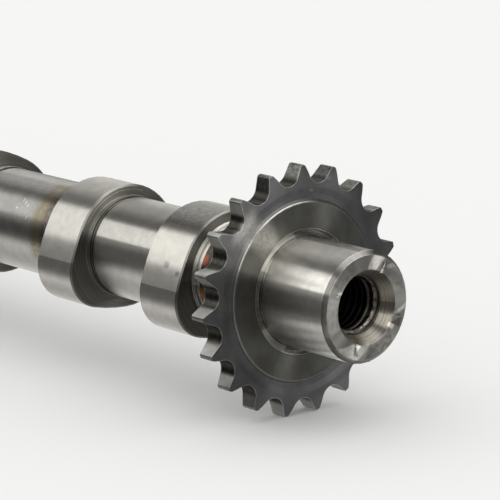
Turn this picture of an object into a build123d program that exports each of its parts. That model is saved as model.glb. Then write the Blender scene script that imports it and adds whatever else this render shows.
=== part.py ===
from build123d import *
from math import acos, asin, atan2, cos, degrees, hypot, pi, radians, sin, sqrt, tan
import os

# One-piece engine camshaft, in millimetres. The shaft runs along X with its nose at +X.
# The origin is on the shaft's axis, in the plane of the thrust face that the nose stands on.
# Angles across the shaft are degrees about +X, from +Y towards +Z.

# Nose, and the groove round its root in the thrust face
NOSE_R = 11.2
NOSE_LENGTH = 18.3
NOSE_CHAMFER = 0.8
RELIEF_R = 12.7
RELIEF_DEPTH = 0.75

# Centre mouth and threaded hole in the nose
MOUTH_R = 7.5
CENTRE_ANGLE = 60.0
THREAD_R = 6.0
THREAD_LENGTH = 28.0
DRILL_R = 5.1
DRILL_DEPTH = 36.0
DRILL_POINT = 118.0

# Dents left in the end face by the pins that drove the shaft for grinding
DENT_ANGLES = (60.0, 156.0, 252.0, 341.0)
DENT_WIDTHS = (1.0, 1.2, 2.6, 4.2)
DENT_DEPTH = 0.45
DENT_REACH = 2.3

# Thrust collar, one face in front of the sprocket and one behind it
COLLAR_R = 18.1
COLLAR_LENGTH = 4.6
COLLAR_BREAK = 0.15

# Sides of the sprocket: set back from the thrust faces, with a hollow round the front one
PLATE_DROP = 0.15
PLATE_R = 20.9
HOLLOW_DEPTH = 0.5
HOLLOW_INNER_R = 18.65
HOLLOW_OUTER_R = 19.6
SIDE_R = 17.0
BACK_BEVEL = 0.35
RIM_BREAK = 0.2

# Teeth for a roller chain
CHAIN_PITCH = 8.0
ROLLER_D = 5.0
TEETH = 19
TIP_R = 25.45
TIP_ROUND = 0.55
SEAT_R = 2.7
SEATING_ANGLE = 118.0
FLANK_R = 18.0
DOWN_ANGLE = 270.0

# Bearing journals, and the raised ring and grinding groove beside each cam
JOURNAL_R = 10.85
RING_R = 11.0
RING_LENGTH = 0.9
GROOVE_R = 10.4
GROOVE_LENGTH = 1.3
END_JOURNAL_LENGTH = 17.0
END_CHAMFER = 1.0
END_CENTRE_R = 3.2

# Cams: two alike for each cylinder
BASE_R = 13.3
LIFT = 3.07
CAM_NOSE_R = 8.4
CAM_FLANK_R = 40.2
CAM_WIDTH = 12.0
CAM_BREAK = 0.3
FIRST_CAM_X = -21.8
PAIR_PITCH = 35.35
CYLINDER_PITCH = 80.0
CYLINDERS = 4
FIRST_CAM_ANGLE = 210.5
QUARTER_TURNS = (0, 3, 1, 2)

# Sizes that follow from those above
PITCH_R = CHAIN_PITCH / (2 * sin(pi / TEETH))
ROOT_R = PITCH_R - ROLLER_D / 2
CAM_FRONTS = [
    FIRST_CAM_X - cylinder * CYLINDER_PITCH - twin * PAIR_PITCH
    for cylinder in range(CYLINDERS)
    for twin in range(2)
]
CAM_ANGLES = [FIRST_CAM_ANGLE + 90 * turns for turns in QUARTER_TURNS for twin in range(2)]
SHAFT_END = CAM_FRONTS[-1] - CAM_WIDTH - END_JOURNAL_LENGTH


def away(centre, radius, angle):
    """Point at a radius and an angle from a centre."""
    turn = radians(angle)
    return (centre[0] + radius * cos(turn), centre[1] + radius * sin(turn))


def arc_about(centre, radius, start, end):
    """Arc about a centre, from one angle to another."""
    return ThreePointArc(*(away(centre, radius, angle) for angle in (start, (start + end) / 2, end)))


def cone_depth(radius, full_angle):
    """Depth of a cone with this mouth radius and full angle."""
    return radius / tan(radians(full_angle / 2))


def nose_outline():
    """Half outline of the nose, from the axis to the edge of the thrust face."""
    end_face = Polyline(
        (NOSE_LENGTH, 0),
        (NOSE_LENGTH, NOSE_R - NOSE_CHAMFER),
        (NOSE_LENGTH - NOSE_CHAMFER, NOSE_R),
        (0, NOSE_R),
    )
    groove = Polyline(
        (0, NOSE_R),
        (-RELIEF_DEPTH * cos(pi / 4), NOSE_R + RELIEF_DEPTH * (1 - sin(pi / 4))),
        (-RELIEF_DEPTH, NOSE_R + RELIEF_DEPTH),
        (-RELIEF_DEPTH, RELIEF_R),
        (0, RELIEF_R),
    )
    thrust_face = Line((0, RELIEF_R), (0, COLLAR_R - COLLAR_BREAK))
    return [end_face, groove, thrust_face]


def sprocket_outline():
    """Half outline of the sprocket, from the front thrust face over the rim to the back one."""
    rim_r = TIP_R - RIM_BREAK
    lean = degrees(asin((rim_r - ROOT_R) / SIDE_R))
    front = Polyline(
        (0, COLLAR_R - COLLAR_BREAK),
        (-COLLAR_BREAK, COLLAR_R),
        (-HOLLOW_DEPTH, HOLLOW_INNER_R),
        (-HOLLOW_DEPTH, HOLLOW_OUTER_R),
        (-PLATE_DROP, PLATE_R),
        (-PLATE_DROP, ROOT_R),
    )
    side = arc_about((-PLATE_DROP - SIDE_R, ROOT_R), SIDE_R, 0, lean)
    rim_front = (side @ 1).X - RIM_BREAK
    plate_back = PLATE_DROP - COLLAR_LENGTH
    rim_back = plate_back + BACK_BEVEL
    back = Polyline(
        side @ 1,
        (rim_front, TIP_R),
        (rim_back, TIP_R),
        (plate_back, ROOT_R),
        (plate_back, COLLAR_R),
        (-COLLAR_LENGTH, COLLAR_R),
    )
    return [front, side, back]


def neck_points(front, back):
    """Half outline between two faces: a ring and its groove, the journal, a groove and its ring."""
    return [
        (front, RING_R),
        (front - RING_LENGTH, RING_R),
        (front - RING_LENGTH, GROOVE_R),
        (front - RING_LENGTH - GROOVE_LENGTH, JOURNAL_R),
        (back + RING_LENGTH + GROOVE_LENGTH, JOURNAL_R),
        (back + RING_LENGTH, GROOVE_R),
        (back + RING_LENGTH, RING_R),
        (back, RING_R),
    ]


def shaft_points():
    """Half outline behind the sprocket: a neck before each cam, then the end journal."""
    fronts = [-COLLAR_LENGTH, *(front - CAM_WIDTH for front in CAM_FRONTS)]
    necks = [point for front, back in zip(fronts, CAM_FRONTS) for point in neck_points(front, back)]
    last = neck_points(fronts[-1], SHAFT_END)[:4]
    end = [(SHAFT_END + END_CHAMFER, JOURNAL_R), (SHAFT_END, JOURNAL_R - END_CHAMFER), (SHAFT_END, 0)]
    return [(-COLLAR_LENGTH, COLLAR_R), *necks, *last, *end, (NOSE_LENGTH, 0)]


def turned_shaft():
    """Everything round about the axis, with the sprocket still a plain disc."""
    outline = Curve() + [*nose_outline(), *sprocket_outline(), Polyline(*shaft_points())]
    return revolve(make_face(outline), Axis.X)


def tooth_gap():
    """Gap for one chain roller: a round seat, then two flanks that open outwards."""
    seat_centre = (ROOT_R + SEAT_R, 0)
    half = SEATING_ANGLE / 2
    upper_centre = away(seat_centre, SEAT_R + FLANK_R, 180 - half)
    lower_centre = (upper_centre[0], -upper_centre[1])
    outside = TIP_R + 1
    lean = degrees(acos((outside - upper_centre[0]) / FLANK_R))
    seat = arc_about(seat_centre, SEAT_R, 180 - half, 180 + half)
    upper = arc_about(upper_centre, FLANK_R, -half, -lean)
    lower = arc_about(lower_centre, FLANK_R, half, lean)
    return make_face(Curve() + [seat, upper, lower, Line(upper @ 1, lower @ 1)])


def tooth_gaps():
    """Cutter for all the gaps, with one gap straight down and the tooth tips rounded."""
    gap = tooth_gap()
    wheel = Circle(TIP_R) - [Rot(0, 0, DOWN_ANGLE + 360 / TEETH * number) * gap for number in range(TEETH)]
    tips = [corner for corner in wheel.vertices() if hypot(corner.X, corner.Y) > PITCH_R]
    waste = Circle(TIP_R + 1) - fillet(tips, TIP_ROUND)
    return extrude(Plane.YZ.offset(-COLLAR_LENGTH) * waste, COLLAR_LENGTH)


def cam_outline():
    """Base circle and nose circle of a cam, joined by two arcs that are tangent to both."""
    nose_out = BASE_R + LIFT - CAM_NOSE_R
    base_gap, nose_gap = CAM_FLANK_R - BASE_R, CAM_FLANK_R - CAM_NOSE_R
    out = (base_gap ** 2 - nose_gap ** 2 + nose_out ** 2) / (2 * nose_out)
    aside = sqrt(base_gap ** 2 - out ** 2)
    base_turn = degrees(atan2(aside, -out))
    nose_turn = degrees(atan2(aside, nose_out - out))
    return Curve() + [
        arc_about((0, 0), BASE_R, base_turn, 360 - base_turn),
        arc_about((out, -aside), CAM_FLANK_R, nose_turn, base_turn),
        arc_about((nose_out, 0), CAM_NOSE_R, -nose_turn, nose_turn),
        arc_about((out, aside), CAM_FLANK_R, -base_turn, -nose_turn),
    ]


def cams():
    """All the cams, each in its place and turned to its angle."""
    blank = extrude(Plane.YZ * make_face(cam_outline()), -CAM_WIDTH)
    cam = chamfer(blank.faces().filter_by(Axis.X).edges(), CAM_BREAK)
    return [Pos(front, 0, 0) * Rot(angle, 0, 0) * cam for front, angle in zip(CAM_FRONTS, CAM_ANGLES)]


def nose_hole():
    """Cutter for the centre mouth, the threaded length and the drilled end."""
    thread_start = NOSE_LENGTH - cone_depth(MOUTH_R - THREAD_R, CENTRE_ANGLE)
    thread_end = thread_start - THREAD_LENGTH
    drill_end = NOSE_LENGTH - DRILL_DEPTH
    outline = Polyline(
        (NOSE_LENGTH, 0),
        (NOSE_LENGTH, MOUTH_R),
        (thread_start, THREAD_R),
        (thread_end, THREAD_R),
        (thread_end, DRILL_R),
        (drill_end, DRILL_R),
        (drill_end - cone_depth(DRILL_R, DRILL_POINT), 0),
        close=True,
    )
    return revolve(make_face(outline), Axis.X)


def end_centre():
    """Cutter for the centre mouth in the far end."""
    point = (SHAFT_END + cone_depth(END_CENTRE_R, CENTRE_ANGLE), 0)
    outline = Polyline((SHAFT_END, 0), (SHAFT_END, END_CENTRE_R), point, close=True)
    return revolve(make_face(outline), Axis.X)


def dents():
    """Cutters for the dents: wedges that run out from the centre mouth and fade to a point."""
    wedges = []
    for angle, width in zip(DENT_ANGLES, DENT_WIDTHS):
        corners = [(NOSE_LENGTH - DENT_DEPTH, 0), (NOSE_LENGTH, -width / 2), (NOSE_LENGTH, width / 2)]
        inner = Plane.XY.offset(MOUTH_R - DENT_REACH / 2) * make_face(Polyline(*corners, close=True))
        wedge = loft([inner, Vertex(NOSE_LENGTH, 0, MOUTH_R + DENT_REACH)])
        wedges.append(Rot(angle - 90, 0, 0) * wedge)
    return wedges


def camshaft():
    """The whole shaft as one solid."""
    body = turned_shaft() - tooth_gaps() + cams()
    return (body - [nose_hole(), end_centre(), *dents()]).solid()


os.makedirs("parts", exist_ok=True)
export_step(camshaft(), "parts/camshaft.step")
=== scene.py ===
"""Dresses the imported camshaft: its ground, turned and hardened steel, the nose's thread and a pale studio."""

import logging
import math
from dataclasses import dataclass, field
from enum import Enum

import bmesh
import bpy
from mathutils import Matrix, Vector


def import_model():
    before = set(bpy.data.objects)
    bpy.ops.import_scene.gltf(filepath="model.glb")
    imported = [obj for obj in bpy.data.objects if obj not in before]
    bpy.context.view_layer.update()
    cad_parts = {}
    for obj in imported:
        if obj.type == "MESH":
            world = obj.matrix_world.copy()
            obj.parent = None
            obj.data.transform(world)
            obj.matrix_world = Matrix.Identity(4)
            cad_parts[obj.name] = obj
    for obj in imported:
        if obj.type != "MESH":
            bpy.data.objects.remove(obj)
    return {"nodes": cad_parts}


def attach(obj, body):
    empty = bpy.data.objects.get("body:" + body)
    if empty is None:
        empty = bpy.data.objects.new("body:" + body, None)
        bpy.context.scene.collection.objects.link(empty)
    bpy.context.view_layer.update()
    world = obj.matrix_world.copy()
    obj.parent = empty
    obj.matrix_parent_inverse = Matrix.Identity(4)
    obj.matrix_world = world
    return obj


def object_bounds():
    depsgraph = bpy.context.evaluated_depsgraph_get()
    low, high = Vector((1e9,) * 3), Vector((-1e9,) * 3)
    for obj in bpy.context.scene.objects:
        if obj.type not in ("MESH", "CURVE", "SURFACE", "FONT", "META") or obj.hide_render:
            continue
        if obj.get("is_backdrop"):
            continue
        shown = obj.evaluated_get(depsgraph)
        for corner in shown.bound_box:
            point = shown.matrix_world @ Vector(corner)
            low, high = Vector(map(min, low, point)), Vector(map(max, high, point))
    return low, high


LOG = logging.getLogger("camshaft")
# One millimetre in metres
MM = 0.001


def linear(code: str) -> tuple[float, float, float, float]:
    """Turn an sRGB hex colour into the linear colour that shaders use.

    Args:
        code: Six hex digits after a hash.

    Returns:
        Linear red, green, blue and an alpha of one.
    """
    parts = [int(code[start:start + 2], 16) / 255 for start in (1, 3, 5)]
    light = [part / 12.92 if part <= 0.04045 else ((part + 0.055) / 1.055) ** 2.4 for part in parts]
    return (*light, 1.0)


def grey(level: float) -> tuple[float, float, float, float]:
    """Linear grey of one level."""
    return (level, level, level, 1.0)


def result(node: bpy.types.Node) -> bpy.types.NodeSocket:
    """The first output that a node's settings leave in use."""
    return next(output for output in node.outputs if output.enabled)


def add_node(tree: bpy.types.NodeTree, kind: str, *inputs: object, **settings: object) -> bpy.types.Node:
    """Add a node, set its options and fill its inputs in order.

    Args:
        tree: The tree that gets the node.
        kind: The node's type, without the words ShaderNode.
        inputs: For each input in use: a node, a socket, a plain value, or None to leave it alone.
        settings: The node's own options.

    Returns:
        The new node.
    """
    node = tree.nodes.new("ShaderNode" + kind)
    for name, value in settings.items():
        setattr(node, name, value)
    for socket, value in zip((socket for socket in node.inputs if socket.enabled), inputs):
        if isinstance(value, bpy.types.Node):
            value = result(value)
        if isinstance(value, bpy.types.NodeSocket):
            tree.links.new(value, socket)
        elif value is not None:
            socket.default_value = value
    return node


class Place(Enum):
    """A coordinate of a spot on the shaft."""

    ALONG = "millimetres along the shaft, forward of the thrust face"
    RADIUS = "millimetres out from the axis"
    FACING = "how squarely the surface faces along the shaft, from nought to one"
    TURN = "degrees round the shaft, from the far side over the top"
    OFF_CAM = "millimetres along from the middle of the nearest cam"
    OFF_GAP = "millimetres along from the middle of the nearest journal between two pairs of cams"


class Pattern(Enum):
    """What makes a finish lighter and darker from spot to spot."""

    RINGS = "fine rings round the shaft, left by turning"
    # Painted reflection: the lighter and darker wedges stand in for the streaks that light makes on a faced
    # surface
    SHEEN_SPOKES = "wedges that fan out from the middle, left by facing"
    CLOUDS = "wide soft patches"
    GRAIN = "fine mottling of a ground surface"
    SPECKS = "small spots of dirt"


@dataclass(frozen=True)
class Steel:
    """One finish of the shaft's steel."""

    light: str
    dark: str
    roughness: float
    pattern: Pattern


@dataclass(frozen=True)
class Mark:
    """A stain, a scratch, or a patch of painted highlight, reflection or shade, by its colour and the spans it
    covers.

    The spans are millimetres along, degrees round and millimetres out. The edge fades over soft millimetres,
    and slant is how many degrees the mark shifts round for each millimetre out.
    """

    colour: str
    along: tuple[float, float]
    turn: tuple[float, float]
    out: tuple[float, float] = (9.0, 30.0)
    soft: float = 0.4
    slant: float = 0.0
    strength: float = 1.0


# Ground surfaces are bright and faintly mottled
GROUND = Steel("#cbc8bf", "#bfbdb6", 0.23, Pattern.GRAIN)
NOSE = Steel("#dcd9d1", "#cecbc3", 0.25, Pattern.GRAIN)
CAM = Steel("#d2cfc6", "#c7c4bc", 0.27, Pattern.GRAIN)
# The journals between two pairs of cams are duller, and painted darker over their upper near side as shade
DULLED_AND_SHADED = Steel("#a9a7a2", "#9a9994", 0.42, Pattern.GRAIN)
# Turned and faced surfaces have fine rings or fans, and the fans are painted reflection streaks
FACED = Steel("#d0cdc4", "#8f8d87", 0.30, Pattern.SHEEN_SPOKES)
BORED = Steel("#b0aa9e", "#8d887d", 0.30, Pattern.RINGS)
CHAMFERED = Steel("#8d8b86", "#77756f", 0.24, Pattern.RINGS)
CAM_SIDE = Steel("#85847c", "#76746d", 0.42, Pattern.RINGS)
RUBBED = Steel("#6d6d68", "#605f5a", 0.30, Pattern.CLOUDS)
# The rounded shoulder before the first cam is painted near white as its highlight
ROUNDED_HIGHLIGHT = Steel("#e6e3da", "#d4d1c8", 0.55, Pattern.CLOUDS)
# Surfaces left as they came from the furnace are dark and matt
HARDENED = Steel("#605f59", "#53524d", 0.42, Pattern.RINGS)
# The neck behind the sprocket: its dark colour is partly dark skin and partly painted shade from the sprocket
SHADED_NECK = Steel("#6a675d", "#4b4841", 0.42, Pattern.CLOUDS)
PLATE = Steel("#797979", "#6b6b6b", 0.38, Pattern.CLOUDS)
FLANK = Steel("#b4b3ae", "#9a9993", 0.60, Pattern.CLOUDS)
SEAT = Steel("#54524d", "#3f3e39", 0.55, Pattern.SPECKS)
# The bore: oily specks, and painted shade that darkens it inwards from the mouth
OIL_AND_SHADE = Steel("#4a463d", "#24221f", 0.40, Pattern.SPECKS)

# Where the marked faces lie along the shaft
END_FACE = (16.0, 20.0)
ROOT_GROOVE = (-0.9, 0.2)
WHEEL_FACE = (-0.5, 0.3)
SECOND_CAM_FACE = (-57.3, -57.0)

MARKS = (
    # Heat tint beside the second cam: brown next to it, amber further off
    Mark("#857a58", (-77.8, -73.6), (100.0, 205.0), soft=2.4, strength=0.75),
    Mark("#54443a", (-74.2, -70.0), (95.0, 200.0), soft=2.4, strength=0.75),
    # Painted dark reflection band along the top of the second journal
    Mark("#6f6e6c", (-101.0, -71.0), (104.0, 130.0), (9.0, 11.2), soft=1.2, strength=0.6),
    # Paint dots on the neck behind the sprocket
    Mark("#a8553f", (-19.5, -18.3), (149.0, 161.0), (9.0, 11.6), soft=0.8, strength=0.9),
    Mark("#96683a", (-19.9, -18.3), (185.0, 199.0), (9.0, 11.6), soft=0.8, strength=0.9),
    # Painted dark reflection over the top of the first cam, and the shoulder in front of it darker on its lower
    # near side
    Mark("#6f6e6b", (-33.9, -21.7), (85.0, 132.0), (12.0, 30.0), soft=2.0, strength=0.6),
    Mark("#55524a", (-21.9, -19.6), (184.0, 230.0), (8.0, 11.5), soft=0.6, strength=0.7),
    # Painted dark reflection over the top of the nose, and painted shadow in the groove round its root
    Mark("#7d7c78", (0.4, 17.3), (35.0, 97.0), (9.0, 11.5), soft=1.0, strength=0.8),
    Mark("#4f4a40", ROOT_GROOVE, (50.0, 100.0), (11.1, 12.9), soft=0.5, strength=0.75),
    Mark("#4f4a40", ROOT_GROOVE, (152.0, 212.0), (11.1, 12.9), soft=0.5, strength=0.75),
    Mark("#3f3c35", ROOT_GROOVE, (248.0, 320.0), (11.1, 12.9), soft=0.5, strength=0.8),
    # Two pits in the first cam, each with a painted highlight on its rim
    Mark("#e6e4dc", (-28.0, -25.9), (165.5, 175.0), soft=0.9, strength=0.5),
    Mark("#77756f", (-27.9, -26.2), (165.5, 171.0), soft=0.8, strength=0.7),
    Mark("#e6e4dc", (-24.0, -21.9), (170.5, 179.0), soft=0.9, strength=0.5),
    Mark("#77756f", (-23.7, -22.5), (171.5, 175.5), soft=0.7, strength=0.7),
    # Scratches on the second journal
    Mark("#f4f2ea", (-83.4, -83.2), (136.0, 141.0), soft=0.2),
    Mark("#f4f2ea", (-82.3, -82.1), (139.0, 144.0), soft=0.2),
    Mark("#f4f2ea", (-81.2, -81.0), (142.0, 146.0), soft=0.2),
    Mark("#f4f2ea", (-84.6, -84.3), (149.0, 151.0), soft=0.3),
    Mark("#f4f2ea", (-80.2, -80.0), (157.0, 161.0), soft=0.2),
    # Turning lines on the side of the second cam
    Mark("#e0ded6", SECOND_CAM_FACE, (70.0, 150.0), (12.2, 12.3), soft=0.2, strength=0.8),
    Mark("#e0ded6", SECOND_CAM_FACE, (78.0, 158.0), (12.8, 12.9), soft=0.2, strength=0.9),
    Mark("#e0ded6", SECOND_CAM_FACE, (70.0, 150.0), (13.4, 13.5), soft=0.2, strength=0.8),
    Mark("#e0ded6", SECOND_CAM_FACE, (74.0, 146.0), (14.1, 14.2), soft=0.2, strength=0.9),
    # Painted reflections of the end face in lighter and darker sectors, and painted highlights and shade on the
    # facets and along the edges of its dents
    Mark("#f6f3ea", END_FACE, (50.0, 57.0), (9.0, 10.5), soft=0.8, slant=-5.0, strength=0.8),
    Mark("#f6f3ea", END_FACE, (67.0, 84.5), (7.5, 10.5), soft=1.0, slant=-3.1, strength=0.9),
    Mark("#5a5853", END_FACE, (56.2, 57.6), (8.5, 9.9), soft=0.25, slant=2.1, strength=0.9),
    Mark("#5a5853", END_FACE, (60.9, 63.3), (8.2, 9.5), soft=0.4, slant=3.8, strength=0.9),
    Mark("#65635e", END_FACE, (109.0, 150.0), (7.6, 10.6), soft=2.0, strength=0.75),
    Mark("#fbf9f2", END_FACE, (152.5, 160.5), (7.3, 8.4), soft=0.4, slant=3.0, strength=0.95),
    Mark("#ece9e0", END_FACE, (161.0, 206.0), (7.6, 10.6), soft=1.6, strength=0.8),
    Mark("#f6f3ea", END_FACE, (231.5, 266.0), (7.5, 10.5), soft=1.2, slant=-6.8, strength=0.9),
    Mark("#5a5853", END_FACE, (248.5, 255.5), (8.0, 9.7), soft=0.6, slant=2.0, strength=0.85),
    Mark("#65635e", END_FACE, (271.0, 316.0), (7.6, 10.6), soft=1.4, slant=-3.0, strength=0.8),
    Mark("#f6f3ea", END_FACE, (321.5, 328.5), (7.3, 8.6), soft=0.5, strength=0.9),
    Mark("#55534e", END_FACE, (329.0, 341.0), (7.5, 9.9), soft=0.5, strength=0.9),
    Mark("#f9f7f0", END_FACE, (346.5, 352.5), (7.5, 10.2), soft=0.6, slant=4.5, strength=0.95),
    Mark("#77756f", END_FACE, (19.0, 45.0), (7.6, 10.6), soft=2.0, slant=-6.0, strength=0.6),
    # Painted shade on the flanks of the upper teeth, and scuffs on their faces
    Mark("#45443f", (-4.4, -0.5), (5.0, 128.0), (21.5, 30.0), soft=0.6, strength=0.8),
    Mark("#b9b7b0", WHEEL_FACE, (92.5, 95.5), (23.8, 25.0), soft=0.5, strength=0.4),
    Mark("#b9b7b0", WHEEL_FACE, (83.0, 86.0), (20.0, 20.6), soft=0.5, strength=0.4),
    Mark("#b9b7b0", WHEEL_FACE, (85.0, 86.5), (22.6, 23.6), soft=0.5, strength=0.4),
    Mark("#b9b7b0", WHEEL_FACE, (72.5, 75.0), (22.8, 23.2), soft=0.5, strength=0.4),
    # Painted reflection streaks: a bright and a dark one across the sprocket, and a bright one across its
    # collar
    Mark("#dcdad6", WHEEL_FACE, (127.0, 146.0), (18.2, 22.6), soft=2.0, strength=0.75),
    Mark("#4e4e4e", WHEEL_FACE, (275.0, 308.0), (18.4, 22.4), soft=1.6, strength=0.6),
    Mark("#d0cec6", (-0.1, 1.1), (121.0, 142.0), (12.8, 18.6), soft=2.0, strength=0.7),
)


@dataclass
class ShaftSteel:
    """The one material of the shaft, whose finish changes from place to place as the real part's does, with
    painted highlights, reflections and shade laid on in places.
    """

    # Sizes of the shaft in millimetres, as in its source
    nose_length: float = 18.3
    chamfer: float = 0.8
    nose_r: float = 11.2
    relief_r: float = 12.7
    collar_r: float = 18.1
    ring_r: float = 11.0
    thread_r: float = 6.0
    first_cam: float = -21.8
    cam_width: float = 12.0
    pair_pitch: float = 35.35
    cylinder_pitch: float = 80.0
    # Bounds of the finishes, forward of the thrust face, and out from the axis where the name ends in r. The
    # seats are counted out from the axis too, and the grooves from the middle of their cam.
    face_depth: float = 5.0
    thread_front: float = 12.5
    mouth_back: float = 10.0
    hole_back: float = -60.0
    relief_back: float = -0.9
    wheel_back: float = -4.65
    neck_end: float = -19.6
    neck_r: float = 12.0
    shoulder_end: float = -21.9
    seats: tuple[float, float] = (20.0, 23.0)
    grooves: tuple[float, float] = (6.9, 8.2)
    # Ends of spans that have no end on the shaft: behind all of it, and ahead of and outside all of it
    far_back: float = -400.0
    far_out: float = 30.0
    # How squarely faces of each kind look along the shaft
    flat: tuple[float, float] = (0.68, 1.2)
    square: tuple[float, float] = (0.9, 1.2)
    sloped: tuple[float, float] = (0.3, 0.7)
    outward: tuple[float, float] = (-0.2, 0.2)
    # How far ahead of a cam the shaft already counts as near that cam
    lead: float = 10.0
    # The dulled journals: how far along and round they are dull and painted in shade, and how far either way
    # from their middle
    dull_along: tuple[float, float] = (-300.0, -60.0)
    dull_shade_turn: tuple[float, float] = (20.0, 182.0)
    dull_half: float = 17.6
    # How coarse each pattern is, for each millimetre. Rings are half a millimetre apart, because the real
    # ones are too fine to show. Spokes are counted on a circle with a radius of one.
    rings: float = 2.0
    sheen_spokes: float = 1.4
    grain: float = 0.4
    clouds: float = 0.16
    specks: float = 1.3
    # How far the rings wander from a true circle, how deep they are and how strongly they show
    ring_drift: float = 0.012
    ring_depth: float = 0.05
    ring_strength: float = 0.06
    # Where the rings show: how squarely a face looks along the shaft, and from where on back
    ringed: tuple[float, float] = (0.65, 1.1)
    ringed_front: float = -5.0
    # Radius at which a slanted mark lies at the angles it names, and the one its soft edge is worked out for
    mark_r: float = 9.0
    soft_r: float = 12.0
    # Edges rubbed bright, which also stands in as painted highlight along them: their width and colour, how far
    # out they begin, how much they are brightened, and the cosines of the bends at which that starts and is
    # full
    worn_width: float = 0.22
    worn_colour: str = "#e2e0d8"
    worn_r: float = 10.0
    worn_strength: float = 0.65
    worn_bends: tuple[float, float] = (0.99, 0.92)

    # Set while the material is wired
    tree: bpy.types.NodeTree = field(init=False)
    colour: bpy.types.Node = field(init=False)
    rough: bpy.types.Node | float = field(init=False)
    spot: bpy.types.Node = field(init=False)
    across: bpy.types.Node = field(init=False)
    at: dict[Place, bpy.types.Node | bpy.types.NodeSocket] = field(init=False)
    patterns: dict[Pattern, bpy.types.Node] = field(init=False)

    def build(self) -> bpy.types.Material:
        """Wire the material.

        Returns:
            The finished material.
        """
        # Case-hardened steel: ground on the nose, the journals and the cams, and left dark from the furnace
        # elsewhere. Ground steel mirrors bright bands along the shaft, turned steel has fine rings, and the
        # dark skin stays matt.
        material = bpy.data.materials.new("case_hardened_steel_ground_and_turned")
        material.use_nodes = True
        self.tree = material.node_tree
        self.measure()
        self.weave()
        self.colour = self.shade(GROUND)
        self.rough = GROUND.roughness
        for finish, mask in self.zones():
            self.paint(finish, mask)
        for mark in MARKS:
            self.lay_mark(mark)
        self.wear_and_glint()
        self.connect(self.tree.nodes["Principled BSDF"])
        return material

    def measure(self) -> None:
        """Set up the coordinates over the shaft."""
        tree = self.tree
        place = add_node(tree, "TexCoord")
        self.spot = add_node(tree, "VectorMath", place.outputs["Object"], (1 / MM,) * 3, operation="MULTIPLY")
        parts = add_node(tree, "SeparateXYZ", self.spot)
        along = parts.outputs["X"]
        self.across = add_node(tree, "VectorMath", self.spot, (0.0, 1.0, 1.0), operation="MULTIPLY")
        radius = add_node(tree, "VectorMath", self.across, operation="LENGTH").outputs["Value"]
        normal = add_node(tree, "SeparateXYZ", place.outputs["Normal"])
        circle = add_node(tree, "Math", parts.outputs["Z"], parts.outputs["Y"], operation="ARCTAN2")
        degrees = add_node(tree, "Math", circle, 180 / math.pi, operation="MULTIPLY")
        # How far behind the front face of a pair's first cam, and then of either cam
        start = add_node(tree, "Math", self.first_cam + self.lead, along, operation="SUBTRACT")
        lap = add_node(tree, "Math", start, self.cylinder_pitch, 0.0, operation="WRAP")
        station = add_node(tree, "Math", lap, self.lead, operation="SUBTRACT")
        second = add_node(tree, "Math", station, self.pair_pitch - self.lead, operation="GREATER_THAN")
        past = add_node(tree, "Math", second, -self.pair_pitch, station, operation="MULTIPLY_ADD")
        off_cam = add_node(tree, "Math", past, self.cam_width / 2, operation="SUBTRACT")
        # How far behind the middle of a journal between two pairs
        to_gap = (self.pair_pitch + self.cam_width + self.cylinder_pitch) / 2
        half_lap = self.cylinder_pitch / 2
        beyond = add_node(tree, "Math", self.first_cam - to_gap + half_lap, along, operation="SUBTRACT")
        within = add_node(tree, "Math", beyond, self.cylinder_pitch, 0.0, operation="WRAP")
        off_gap = add_node(tree, "Math", within, half_lap, operation="SUBTRACT")
        self.at = {
            Place.ALONG: along,
            Place.RADIUS: radius,
            Place.FACING: add_node(tree, "Math", normal.outputs["X"], operation="ABSOLUTE"),
            Place.TURN: add_node(tree, "Math", degrees, 360.0, 0.0, operation="WRAP"),
            Place.OFF_CAM: add_node(tree, "Math", off_cam, operation="ABSOLUTE"),
            Place.OFF_GAP: add_node(tree, "Math", off_gap, operation="ABSOLUTE"),
        }

    def weave(self) -> None:
        """Set up the patterns, from millimetres over the shaft."""
        tree = self.tree
        profile = add_node(tree, "Math", self.at[Place.ALONG], self.at[Place.RADIUS], operation="ADD")
        circle = add_node(tree, "CombineXYZ", profile, 0.0, 0.0)
        wander = (self.ring_drift,) * 3
        drift = add_node(tree, "VectorMath", self.spot, wander, circle, operation="MULTIPLY_ADD")
        fan = add_node(tree, "VectorMath", self.across, operation="NORMALIZE")
        self.patterns = {
            Pattern.RINGS: add_node(tree, "TexNoise", drift, self.rings, 3.0, 0.7),
            Pattern.SHEEN_SPOKES: add_node(tree, "TexNoise", fan, self.sheen_spokes, 2.0, 0.5),
            Pattern.GRAIN: add_node(tree, "TexNoise", self.spot, self.grain, 8.0, 0.75),
            Pattern.CLOUDS: add_node(tree, "TexNoise", self.spot, self.clouds, 4.0, 0.6),
            Pattern.SPECKS: add_node(tree, "TexNoise", self.spot, self.specks, 3.0, 0.6),
        }

    def span(self, place: Place, low: float, high: float, soft: float, slant: float = 0.0) -> bpy.types.Node:
        """Mask that is one where a coordinate lies between two values.

        Args:
            place: The coordinate.
            low: Where the span begins.
            high: Where it ends.
            soft: Over how much of the coordinate it fades, centred on either end.
            slant: How far the span shifts for each millimetre out.

        Returns:
            The mask.
        """
        value = self.at[place]
        if slant:
            out = add_node(self.tree, "Math", self.at[Place.RADIUS], self.mark_r, operation="SUBTRACT")
            value = add_node(self.tree, "Math", out, -slant, value, operation="MULTIPLY_ADD")
        off = add_node(self.tree, "Math", value, (low + high) / 2, operation="SUBTRACT")
        away = add_node(self.tree, "Math", off, operation="ABSOLUTE")
        half = (high - low) / 2
        return add_node(self.tree, "MapRange", away, half + soft / 2, half - soft / 2, 0.0, 1.0,
                        interpolation_type="SMOOTHSTEP")

    def share(self, *masks: bpy.types.Node) -> bpy.types.Node:
        """Mask of what several masks share.

        Args:
            masks: The masks.

        Returns:
            Their product.
        """
        common = masks[0]
        for mask in masks[1:]:
            common = add_node(self.tree, "Math", common, mask, operation="MULTIPLY")
        return common

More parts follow.
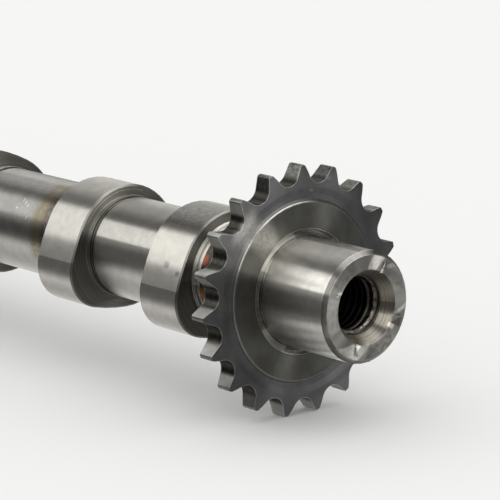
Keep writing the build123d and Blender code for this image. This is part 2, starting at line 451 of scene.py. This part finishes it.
    def zones(self) -> tuple[tuple[Steel, bpy.types.Node], ...]:
        """Where each finish lies, in the order they are laid on.

        Returns:
            Pairs of a finish and its mask.
        """
        span, share = self.span, self.share
        front = span(Place.ALONG, self.wheel_back - 0.05, self.far_out, 0.1)
        behind = span(Place.ALONG, self.far_back, self.wheel_back + 0.05, 0.1)
        flat = span(Place.FACING, *self.flat, 0.2)
        outward = span(Place.FACING, *self.outward, 0.2)
        wheel = share(front, span(Place.RADIUS, self.relief_r, self.far_out, 0.1))
        plate = share(wheel, span(Place.RADIUS, self.collar_r + 0.05, self.far_out, 0.1))
        tooth = share(plate, outward)
        return (
            (NOSE, span(Place.ALONG, 0.1, self.far_out, 0.1)),
            (DULLED_AND_SHADED, share(span(Place.OFF_GAP, -1.0, self.dull_half, 2.5),
                           span(Place.ALONG, *self.dull_along, 1.0),
                           span(Place.TURN, *self.dull_shade_turn, 14.0))),
            (CAM, share(behind, span(Place.OFF_CAM, -1.0, self.cam_width / 2, 0.04),
                        span(Place.RADIUS, self.nose_r, self.far_out, 0.1), outward)),
            (SHADED_NECK, share(span(Place.ALONG, self.neck_end, self.wheel_back, 0.3),
                         span(Place.RADIUS, self.thread_r, self.neck_r, 0.4))),
            (CAM_SIDE, share(behind, flat)),
            (HARDENED, share(behind, span(Place.OFF_CAM, *self.grooves, 0.04))),
            (ROUNDED_HIGHLIGHT, share(span(Place.ALONG, self.shoulder_end, self.neck_end, 0.1),
                            span(Place.RADIUS, self.thread_r, self.ring_r + 0.03, 0.02))),
            (PLATE, plate),
            (FLANK, tooth),
            (SEAT, share(tooth, span(Place.RADIUS, *self.seats, 1.0))),
            (RUBBED, share(wheel, span(Place.ALONG, -0.1, 1.0, 0.06),
                           span(Place.RADIUS, self.relief_r, self.collar_r, 0.1))),
            (FACED, share(span(Place.ALONG, self.nose_length - self.face_depth, self.far_out, 0.1),
                          span(Place.FACING, *self.square, 0.2))),
            (BORED, share(span(Place.ALONG, self.mouth_back, self.far_out, 0.1),
                          span(Place.FACING, *self.sloped, 0.2))),
            (CHAMFERED, share(span(Place.ALONG, self.nose_length - self.chamfer, self.nose_length, 0.06),
                              span(Place.RADIUS, self.nose_r - self.chamfer, self.nose_r, 0.06))),
            (FACED, share(span(Place.ALONG, self.relief_back, 0.1, 0.1),
                          span(Place.RADIUS, self.nose_r, self.relief_r, 0.1))),
            (OIL_AND_SHADE, share(span(Place.RADIUS, -1.0, self.thread_r + 0.1, 0.3),
                         span(Place.ALONG, self.hole_back, self.thread_front, 3.0))),
        )

    def shade(self, finish: Steel) -> bpy.types.Node:
        """Colour of a finish, from dark to light by its pattern.

        Args:
            finish: The finish.

        Returns:
            The colour.
        """
        level = add_node(self.tree, "MapRange", self.patterns[finish.pattern], 0.35, 0.65, 0.0, 1.0,
                         interpolation_type="SMOOTHSTEP")
        return add_node(self.tree, "Mix", level, linear(finish.dark), linear(finish.light), data_type="RGBA")

    def paint(self, finish: Steel, mask: bpy.types.Node) -> None:
        """Lay a finish over the ones before it.

        Args:
            finish: The finish.
            mask: Where it goes.
        """
        self.colour = add_node(self.tree, "Mix", mask, self.colour, self.shade(finish), data_type="RGBA")
        self.rough = add_node(self.tree, "Mix", mask, self.rough, finish.roughness, data_type="FLOAT")

    def lay_mark(self, mark: Mark) -> None:
        """Lay one mark over the finishes, broken up by specks.

        Args:
            mark: The mark.
        """
        soft_turn = math.degrees(mark.soft / self.soft_r)
        covered = self.share(self.span(Place.ALONG, *mark.along, mark.soft),
                             self.span(Place.TURN, *mark.turn, soft_turn, mark.slant),
                             self.span(Place.RADIUS, *mark.out, mark.soft))
        specks = add_node(self.tree, "MapRange", self.patterns[Pattern.SPECKS], 0.2, 0.6, 0.4, 1.0)
        amount = add_node(self.tree, "Math", self.share(covered, specks), mark.strength, operation="MULTIPLY")
        self.colour = add_node(self.tree, "Mix", amount, self.colour, linear(mark.colour), data_type="RGBA")

    def wear_and_glint(self) -> None:
        """Brighten the edges, where handling has rubbed the dark skin off, and as painted highlights along
        them.
        """
        tree = self.tree
        bevel = add_node(tree, "Bevel", self.worn_width * MM, samples=8)
        surface = add_node(tree, "NewGeometry")
        bend = add_node(tree, "VectorMath", bevel, surface.outputs["Normal"], operation="DOT_PRODUCT")
        edge = add_node(tree, "MapRange", bend.outputs["Value"], *self.worn_bends, 0.0, self.worn_strength,
                        interpolation_type="SMOOTHSTEP")
        outside = self.share(edge, self.span(Place.RADIUS, self.worn_r, self.far_out, 0.2))
        self.colour = add_node(tree, "Mix", outside, self.colour, linear(self.worn_colour), data_type="RGBA")

    def connect(self, shader: bpy.types.Node) -> None:
        """Link the colour, the rings and the direction of grinding to the shader.

        Args:
            shader: The shader.
        """
        tree = self.tree
        rings = self.patterns[Pattern.RINGS]
        turned = self.share(self.span(Place.FACING, *self.ringed, 0.2),
                            self.span(Place.ALONG, self.far_back, self.ringed_front, 0.2))
        strength = add_node(tree, "Math", turned, self.ring_strength, operation="MULTIPLY")
        centred = add_node(tree, "Math", rings, 0.5, operation="SUBTRACT")
        rough = add_node(tree, "Math", centred, strength, self.rough, operation="MULTIPLY_ADD")
        bump = add_node(tree, "Bump", strength, self.ring_depth * MM, rings)
        round_shaft = add_node(tree, "VectorMath", (1.0, 0.0, 0.0), self.across, operation="CROSS_PRODUCT")
        tangent = add_node(tree, "VectorMath", round_shaft, operation="NORMALIZE")
        wires = {"Base Color": self.colour, "Roughness": rough, "Normal": bump, "Tangent": tangent}
        for name, node in wires.items():
            tree.links.new(result(node), shader.inputs[name])
        shader.inputs["Metallic"].default_value = 1.0
        shader.inputs["Anisotropic"].default_value = 1.0
        shader.inputs["Anisotropic Rotation"].default_value = 0.25


@dataclass
class NoseThread:
    """Ridges of the bolt thread inside the nose."""

    # Sizes in millimetres. The start is counted forward from the thrust face.
    start: float = 15.7
    length: float = 28.0
    pitch: float = 1.75
    major_r: float = 6.0
    minor_r: float = 5.1
    crest: float = 0.44
    buried: float = 0.05
    mouth_slope: float = 30.0
    steps: int = 48
    # The finish: its colours, how far in from the mouth the bright one reaches before painted shade darkens it,
    # and how coarse the chips are per millimetre
    bright: str = "#b5afa2"
    oily_and_shaded: str = "#1d1b1a"
    roughness: float = 0.34
    lit_length: float = 3.5
    chips: float = 1.1

    def build(self) -> bpy.types.Object:
        """Wind one ridge along the hole.

        Returns:
            The thread as one closed mesh.
        """
        upright = (math.pi / 2, 0.0, 0.0)
        bpy.ops.mesh.primitive_circle_add(vertices=4, radius=self.pitch * MM / 2, rotation=upright)
        thread = bpy.context.object
        thread.name = "nose_thread"
        bpy.ops.object.transform_apply(location=True, rotation=True, scale=True)
        turns = int(self.length / self.pitch) - 1
        self.outline(thread, self.start - (turns + 1) * self.pitch)
        wind = thread.modifiers.new("wind", "SCREW")
        wind.axis = "X"
        wind.screw_offset = self.pitch * MM
        wind.iterations = turns
        wind.steps = wind.render_steps = self.steps
        bpy.ops.object.modifier_apply(modifier="wind")
        bpy.ops.object.mode_set(mode="EDIT")
        bpy.ops.mesh.select_all(action="SELECT")
        bpy.ops.mesh.remove_doubles(threshold=0.001 * MM)
        bpy.ops.mesh.select_all(action="DESELECT")
        bpy.ops.mesh.select_mode(type="EDGE")
        bpy.ops.mesh.select_non_manifold()
        bpy.ops.mesh.edge_face_add()
        self.chamfer(thread)
        bpy.ops.mesh.select_all(action="SELECT")
        bpy.ops.mesh.normals_make_consistent(inside=False)
        bpy.ops.object.mode_set(mode="OBJECT")
        thread.data.materials.append(self.steel())
        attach(thread, "root")
        return thread

    def outline(self, thread: bpy.types.Object, last: float) -> None:
        """Move the four corners to the ridge's outline at its deepest turn.

        Args:
            thread: The ring of four corners.
            last: Where the ridge's outline begins, in millimetres along the shaft.
        """
        rim = self.major_r + self.buried
        corners = ((0.0, rim), (self.pitch, rim), ((self.pitch + self.crest) / 2, self.minor_r),
                   ((self.pitch - self.crest) / 2, self.minor_r))
        bpy.ops.object.mode_set(mode="EDIT")
        mesh = bmesh.from_edit_mesh(thread.data)
        mesh.verts.ensure_lookup_table()
        for vert, (ahead, out) in zip(mesh.verts, corners):
            vert.co = ((last + ahead) * MM, 0.0, out * MM)
        bmesh.update_edit_mesh(thread.data)
        bpy.ops.object.mode_set(mode="OBJECT")

    def chamfer(self, thread: bpy.types.Object) -> None:
        """Lean the first turns back to the cone of the centre mouth.

        Args:
            thread: The thread, in edit mode.
        """
        mesh = bmesh.from_edit_mesh(thread.data)
        slope = math.tan(math.radians(self.mouth_slope))
        for vert in mesh.verts:
            out = math.hypot(vert.co.y, vert.co.z)
            cone = (self.major_r + (vert.co.x / MM - self.start) * slope) * MM
            if cone > out:
                reach = min(cone, (self.major_r + self.buried) * MM) / out
                vert.co.y *= reach
                vert.co.z *= reach
        bmesh.update_edit_mesh(thread.data)

    def steel(self) -> bpy.types.Material:
        """Wire the cut thread's finish.

        Returns:
            The finished material.
        """
        # Tapped steel with a film of oil: bright chipped crests near the mouth, with painted shade that turns
        # it black in the roots and deeper in
        material = bpy.data.materials.new("tapped_steel_thread")
        material.use_nodes = True
        tree = material.node_tree
        shader = tree.nodes["Principled BSDF"]
        place = add_node(tree, "TexCoord").outputs["Object"]
        across = add_node(tree, "VectorMath", place, (0.0, 1 / MM, 1 / MM), operation="MULTIPLY")
        radius = add_node(tree, "VectorMath", across, operation="LENGTH").outputs["Value"]
        along = add_node(tree, "SeparateXYZ", place).outputs["X"]
        dark_from = (self.start - self.lit_length) * MM
        inside = add_node(tree, "MapRange", along, self.start * MM, dark_from, 0.0, 1.0)
        depth = add_node(tree, "MapRange", radius, self.minor_r, self.major_r, 0.0, 1.0)
        chips = add_node(tree, "TexNoise", place, self.chips / MM, 3.0, 0.7)
        broken = add_node(tree, "MapRange", chips, 0.44, 0.56, 0.0, 0.85, interpolation_type="SMOOTHSTEP")
        deep_shade = add_node(tree, "Math", inside, depth, operation="MAXIMUM")
        dark = add_node(tree, "Math", deep_shade, broken, operation="MAXIMUM")
        colour = add_node(tree, "Mix", dark, linear(self.bright), linear(self.oily_and_shaded), data_type="RGBA")
        tree.links.new(result(colour), shader.inputs["Base Color"])
        shader.inputs["Metallic"].default_value = 1.0
        shader.inputs["Roughness"].default_value = self.roughness
        return material


@dataclass
class Studio:
    """Pale floor, soft light and the camera of the photograph."""

    # Places and sizes in millimetres
    camera_at: tuple[float, float, float] = (401.69, -353.12, 122.90)
    looking: tuple[float, float, float] = (-0.74725, 0.63071, -0.20933)
    lens: float = 199.44
    sensor: float = 36.0
    near_clip: float = 10.0
    floor_side: float = 6000.0
    floor_drop: float = 0.1
    floor_colour: str = "#f2f2f1"
    # Brightness that metal mirrors behind and ahead of the shaft, by angle round it: 0 is the far side, 90 is
    # up and 180 is the near side
    behind: tuple[tuple[float, float], ...] = (
        (0, 0.80), (30, 0.80), (42, 0.35), (84, 0.18), (92, 0.15), (98, 0.12), (114, 0.12), (122, 0.30),
        (150, 0.30), (160, 0.20), (172, 0.13), (204, 0.13), (214, 0.40), (222, 0.85), (240, 0.6), (262, 0.50),
        (285, 0.80), (310, 1.05), (342, 0.95),
    )
    ahead: tuple[tuple[float, float], ...] = (
        (0, 0.08), (34, 0.08), (44, 1.2), (56, 2.4), (86, 2.4), (98, 1.2), (106, 0.30), (120, 0.7),
        (160, 1.4), (172, 0.15), (198, 0.13), (208, 0.6), (222, 1.2), (238, 0.7), (262, 0.20), (300, 0.30),
        (326, 0.36), (342, 0.58),
    )
    # Between which directions forward the bands behind give way to those ahead
    turning_ahead: tuple[float, float] = (-0.58, -0.05)
    # Where the dark room begins that metal mirrors round the camera, forward and towards the near side
    room_forward: tuple[float, float] = (0.2, 0.45)
    room_near: tuple[float, float] = (-0.1, -0.4)
    # Brightness of that room, of the light that falls on matt surfaces, and of the background
    room_level: float = 0.13
    matt_level: float = 1.04
    seen_level: float = 1.0
    # The strip lamp lies along the shaft, above it on the near side, and only metal mirrors it
    strip_turn: tuple[float, float] = (119.0, 156.0)
    strip_ends: tuple[float, float] = (-516.0, 600.0)
    strip_away: float = 400.0
    strip_level: float = 1.45
    # The side lamp is small, and only the flat faces mirror it
    side_at: tuple[float, float, float] = (418.0, 446.0, 24.0)
    side_size: float = 70.0
    side_level: float = 7.0

    def build(self, lowest: float) -> None:
        """Set up floor, light and camera.

        Args:
            lowest: Height of the object's lowest point, in metres.
        """
        self.floor(lowest)
        self.world()
        self.strip_lamp()
        self.side_lamp()
        self.camera()
        bpy.context.scene.view_settings.view_transform = "Standard"

    def floor(self, lowest: float) -> None:
        """Lay the floor just under the object. Metal doesn't mirror it.

        Args:
            lowest: Height of the object's lowest point, in metres.
        """
        height = lowest - self.floor_drop * MM
        bpy.ops.mesh.primitive_plane_add(size=self.floor_side * MM, location=(0.0, 0.0, height))
        floor = bpy.context.object
        floor.name = "floor"
        floor.visible_glossy = False
        floor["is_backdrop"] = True
        material = bpy.data.materials.new("matt_white_paper")
        material.use_nodes = True
        shader = material.node_tree.nodes["Principled BSDF"]
        shader.inputs["Base Color"].default_value = linear(self.floor_colour)
        shader.inputs["Roughness"].default_value = 0.9
        shader.inputs["Specular IOR Level"].default_value = 0.0
        floor.data.materials.append(material)

    def world(self) -> None:
        """Light matt surfaces evenly, and give metal light and dark bands to mirror."""
        world = bpy.data.worlds.new("pale_studio")
        bpy.context.scene.world = world
        world.use_nodes = True
        tree = world.node_tree
        tree.nodes.clear()
        way = add_node(tree, "SeparateXYZ", add_node(tree, "TexCoord").outputs["Generated"])
        turn = add_node(tree, "Math", way.outputs["Z"], way.outputs["Y"], operation="ARCTAN2")
        share = add_node(tree, "Math", turn, math.tau, operation="DIVIDE")
        whole = add_node(tree, "Math", share, 1.0, 0.0, operation="WRAP")
        bands = [self.bands(tree, whole, levels) for levels in (self.behind, self.ahead)]
        forward = add_node(tree, "MapRange", way.outputs["X"], *self.turning_ahead, 0.0, 1.0,
                           interpolation_type="SMOOTHSTEP")
        around = add_node(tree, "Mix", forward, *bands, data_type="RGBA")
        front = add_node(tree, "MapRange", way.outputs["X"], *self.room_forward, 0.0, 1.0,
                         interpolation_type="SMOOTHSTEP")
        near = add_node(tree, "MapRange", way.outputs["Y"], *self.room_near, 0.0, 1.0,
                        interpolation_type="SMOOTHSTEP")
        room = add_node(tree, "Math", front, near, operation="MULTIPLY")
        mirrored = add_node(tree, "Mix", room, around, grey(self.room_level), data_type="RGBA")
        rays = add_node(tree, "LightPath")
        lit = add_node(tree, "Mix", rays.outputs["Is Glossy Ray"], grey(self.matt_level), mirrored,
                       data_type="RGBA")
        seen = add_node(tree, "Mix", rays.outputs["Is Camera Ray"], lit, grey(self.seen_level),
                        data_type="RGBA")
        add_node(tree, "OutputWorld", add_node(tree, "Background", seen, 1.0))

    def bands(self, tree: bpy.types.NodeTree, whole: bpy.types.Node,
              levels: tuple[tuple[float, float], ...]) -> bpy.types.Node:
        """Bands of light round the shaft.

        Args:
            tree: The world's tree.
            whole: The angle round the shaft, as a share of the whole circle.
            levels: Pairs of an angle in degrees and a brightness.

        Returns:
            The brightness at each angle.
        """
        ramp = add_node(tree, "ValToRGB", whole)
        stops = ramp.color_ramp.elements
        while len(stops) < len(levels) + 1:
            stops.new(0.5)
        for stop, (angle, level) in zip(stops, (*levels, (360, levels[0][1]))):
            stop.position = angle / 360
            stop.color = grey(level)
        return ramp

    def strip_lamp(self) -> None:
        """Hang the long lamp whose reflection runs down the nose, the journals and the cams."""
        low, high = (math.radians(angle) for angle in self.strip_turn)
        middle = (low + high) / 2
        width = 2 * self.strip_away * math.tan((high - low) / 2) * MM
        length = (self.strip_ends[1] - self.strip_ends[0]) * MM
        out = Vector((0.0, math.cos(middle), math.sin(middle))) * self.strip_away
        centre = Vector((sum(self.strip_ends) / 2, out.y, out.z))
        bpy.ops.object.light_add(type="AREA", location=centre * MM)
        lamp = bpy.context.object
        lamp.name = "strip_lamp"
        lamp.rotation_euler = (middle - math.pi / 2, 0.0, 0.0)
        lamp.data.shape = "RECTANGLE"
        lamp.data.size, lamp.data.size_y = length, width
        lamp.data.energy = self.strip_level * math.pi * length * width
        lamp.visible_camera = lamp.visible_diffuse = False

    def side_lamp(self) -> None:
        """Stand the small lamp whose reflection brightens the end face, the collar and the sprocket."""
        bpy.ops.object.light_add(type="AREA", location=Vector(self.side_at) * MM)
        lamp = bpy.context.object
        lamp.name = "side_lamp"
        lamp.rotation_euler = (-lamp.location).to_track_quat("-Z", "Y").to_euler()
        lamp.data.shape = "DISK"
        lamp.data.size = self.side_size * MM
        lamp.data.energy = self.side_level * math.pi * math.pi * (lamp.data.size / 2) ** 2
        lamp.visible_camera = lamp.visible_diffuse = False

    def camera(self) -> None:
        """Stand the camera where the photograph was taken from."""
        bpy.ops.object.camera_add(location=Vector(self.camera_at) * MM)
        camera = bpy.context.object
        camera.rotation_euler = Vector(self.looking).to_track_quat("-Z", "Y").to_euler()
        camera.data.sensor_width = self.sensor
        camera.data.lens = self.lens
        camera.data.clip_start = self.near_clip * MM
        bpy.context.scene.camera = camera


def main() -> None:
    """Build the studio and the pieces, and report each."""
    logging.basicConfig(level=logging.INFO, format="%(message)s")
    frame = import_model()
    cad_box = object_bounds()
    bpy.ops.object.select_all(action="DESELECT")
    Studio().build(cad_box[0].z)
    steel = ShaftSteel().build()
    for name, node in frame["nodes"].items():
        for slot in node.material_slots:
            slot.material = steel
        LOG.info("dressed %s", name)
    bpy.ops.object.select_all(action="DESELECT")
    thread = NoseThread().build()
    LOG.info("built %s with %d faces", thread.name, len(thread.data.polygons))


if __name__ == "__main__":
    main()
